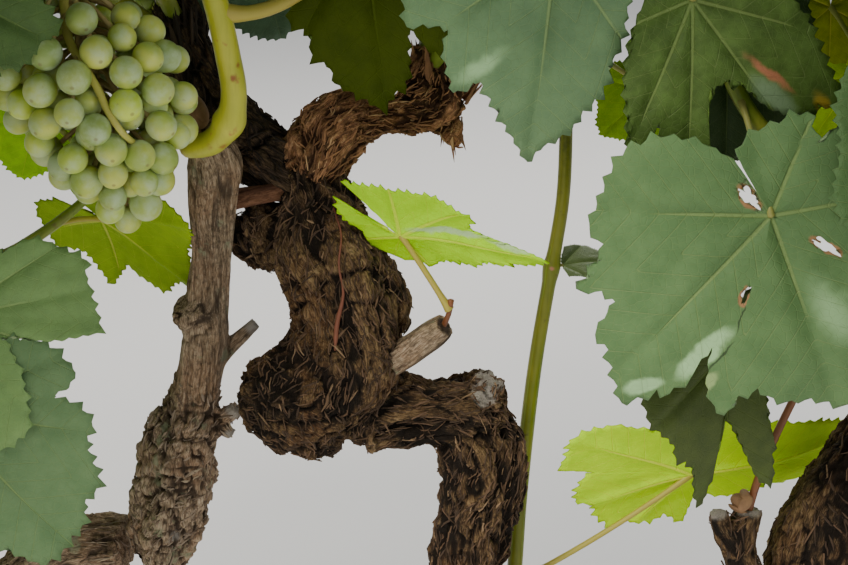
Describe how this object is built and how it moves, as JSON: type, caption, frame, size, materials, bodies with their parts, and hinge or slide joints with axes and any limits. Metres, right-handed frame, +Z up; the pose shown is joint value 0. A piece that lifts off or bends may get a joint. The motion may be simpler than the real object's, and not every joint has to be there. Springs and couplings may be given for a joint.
{
  "type": "grapevine",
  "caption": "Old gnarled grapevine with several stems from one root crown, a burled trunk with two arms, short spurs, and leafy shoots with bunches of white grapes.",
  "frame": {"origin": "middle of the flat cut under the main trunk, at ground level", "axes": "+Z up, +X along the row of stems towards the right stem, -Y towards the side the picture was taken from"},
  "size_m": [1.341, 0.951, 1.2199],
  "materials": {
    "dark_bark": "rough dark brown shredding bark",
    "pale_bark": "stringy grey-brown bark",
    "foliage": "matt blue-green leaves on green shoots, with pale green grapes"
  },
  "bodies": {
    "root": {"trunk": "dark_bark", "left_stem_foot": "pale_bark", "left_stem_elbow": "pale_bark", "left_stem": "pale_bark", "right_stem": "dark_bark", "left_arm": "dark_bark", "right_arm": "dark_bark", "cross_branch": "pale_bark", "centre_spur": "pale_bark", "foliage_left_stem": "foliage", "foliage_grapes_left": "foliage", "foliage_left_low": "foliage", "foliage_centre_spur": "foliage", "foliage_upright": "foliage", "foliage_right_head_front": "foliage", "foliage_right_front": "foliage", "foliage_right_spur": "foliage", "foliage_right_out": "foliage", "foliage_right_back": "foliage", "foliage_right_up": "foliage", "foliage_right_front_low": "foliage", "foliage_right_top": "foliage", "foliage_left_arm_up": "foliage", "foliage_left_arm_back": "foliage", "foliage_left_arm_out": "foliage", "foliage_left_front": "foliage", "foliage_right_head_up": "foliage", "foliage_right_head_back": "foliage", "foliage_left_foot": "foliage"}
  },
  "joints": []
}
